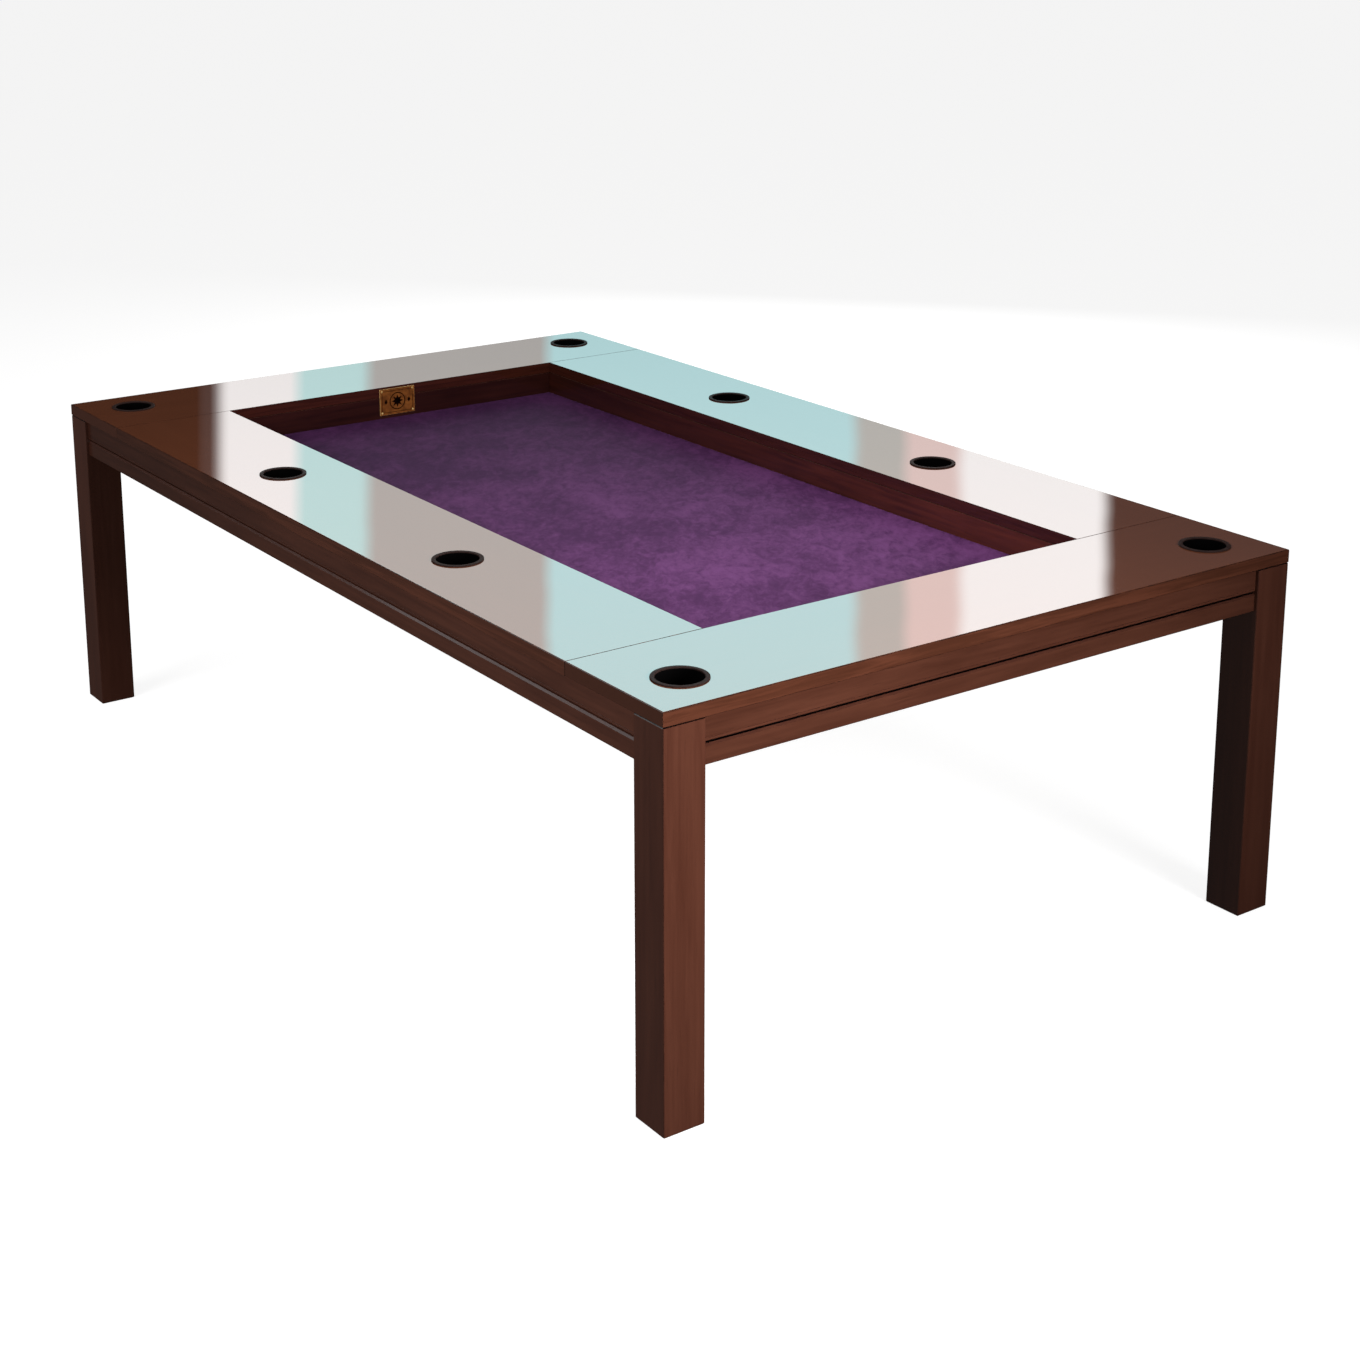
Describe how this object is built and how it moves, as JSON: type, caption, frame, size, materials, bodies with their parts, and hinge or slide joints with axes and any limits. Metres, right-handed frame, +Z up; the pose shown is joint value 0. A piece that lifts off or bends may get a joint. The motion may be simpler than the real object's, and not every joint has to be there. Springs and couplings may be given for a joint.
{
  "type": "gaming table",
  "caption": "Long rectangular gaming table: a wide glossy border round a sunken cloth-lined playing area, square legs, a grooved apron and lift-out cup inserts.",
  "frame": {"origin": "on the floor, at the centre of the table's footprint", "axes": "+X along the table's length, +Y along its width towards the back, +Z up"},
  "size_m": [2.54, 1.5, 0.7624],
  "materials": {
    "border_lacquer": "dark mahogany stain under polished gloss lacquer",
    "apron_wood": "dark mahogany stain, satin lacquer",
    "leg_wood": "dark mahogany stain, satin lacquer",
    "vault_wood": "dark red-brown stain, satin lacquer",
    "frame_wood": "planed softwood, unfinished",
    "plywood": "birch plywood, sanded",
    "foam": "closed-cell foam underlay",
    "cloth": "brushed purple microsuede",
    "cup_finish": "dark bronze, glossy",
    "brass": "aged brass, satin",
    "bracket_steel": "black powder coat",
    "zinc_steel": "zinc-plated steel"
  },
  "bodies": {
    "table": {"top_end_board_left": "border_lacquer", "top_end_board_right": "border_lacquer", "top_side_board_front": "border_lacquer", "top_side_board_back": "border_lacquer", "leg_front_left": "leg_wood", "leg_front_right": "leg_wood", "leg_back_left": "leg_wood", "leg_back_right": "leg_wood", "upper_apron_front": "apron_wood", "upper_apron_back": "apron_wood", "upper_apron_left": "apron_wood", "upper_apron_right": "apron_wood", "lower_apron_front": "apron_wood", "lower_apron_back": "apron_wood", "lower_apron_left": "apron_wood", "lower_apron_right": "apron_wood", "vault_wall_front": "vault_wood", "vault_wall_back": "vault_wood", "vault_wall_left": "vault_wood", "vault_wall_right": "vault_wood", "vault_floor_panel": "plywood", "play_surface_foam": "foam", "play_surface_cloth": "cloth", "ledger_front": "frame_wood", "ledger_back": "frame_wood", "ledger_left": "frame_wood", "ledger_right": "frame_wood", "cross_bearer_left": "frame_wood", "cross_bearer_centre": "frame_wood", "cross_bearer_right": "frame_wood", "rib_front_left": "frame_wood", "rib_front_centre": "frame_wood", "rib_front_right": "frame_wood", "rib_back_left": "frame_wood", "rib_back_centre": "frame_wood", "rib_back_right": "frame_wood", "rib_end_left": "frame_wood", "rib_end_right": "frame_wood", "corner_bracket_front_left": "bracket_steel", "corner_bracket_front_right": "bracket_steel", "corner_bracket_back_left": "bracket_steel", "corner_bracket_back_right": "bracket_steel", "hanger_bolts": "zinc_steel", "hanger_washers": "zinc_steel", "hanger_nuts": "zinc_steel", "border_screws": "zinc_steel", "bearer_screws": "zinc_steel", "bracket_screws": "zinc_steel", "board_dowels": "frame_wood", "plaque": "brass", "plaque_screws": "brass"},
    "cup_1": {"cup_insert_1": "cup_finish"},
    "cup_2": {"cup_insert_2": "cup_finish"},
    "cup_3": {"cup_insert_3": "cup_finish"},
    "cup_4": {"cup_insert_4": "cup_finish"},
    "cup_5": {"cup_insert_5": "cup_finish"},
    "cup_6": {"cup_insert_6": "cup_finish"},
    "cup_7": {"cup_insert_7": "cup_finish"},
    "cup_8": {"cup_insert_8": "cup_finish"}
  },
  "joints": [
    {"name": "cup_1_lift", "type": "slide", "parent": "table", "child": "cup_1", "axis": [0, 0, 1], "range_m": [0, 0.09]},
    {"name": "cup_2_lift", "type": "slide", "parent": "table", "child": "cup_2", "axis": [0, 0, 1], "range_m": [0, 0.09]},
    {"name": "cup_3_lift", "type": "slide", "parent": "table", "child": "cup_3", "axis": [0, 0, 1], "range_m": [0, 0.09]},
    {"name": "cup_4_lift", "type": "slide", "parent": "table", "child": "cup_4", "axis": [0, 0, 1], "range_m": [0, 0.09]},
    {"name": "cup_5_lift", "type": "slide", "parent": "table", "child": "cup_5", "axis": [0, 0, 1], "range_m": [0, 0.09]},
    {"name": "cup_6_lift", "type": "slide", "parent": "table", "child": "cup_6", "axis": [0, 0, 1], "range_m": [0, 0.09]},
    {"name": "cup_7_lift", "type": "slide", "parent": "table", "child": "cup_7", "axis": [0, 0, 1], "range_m": [0, 0.09]},
    {"name": "cup_8_lift", "type": "slide", "parent": "table", "child": "cup_8", "axis": [0, 0, 1], "range_m": [0, 0.09]}
  ]
}
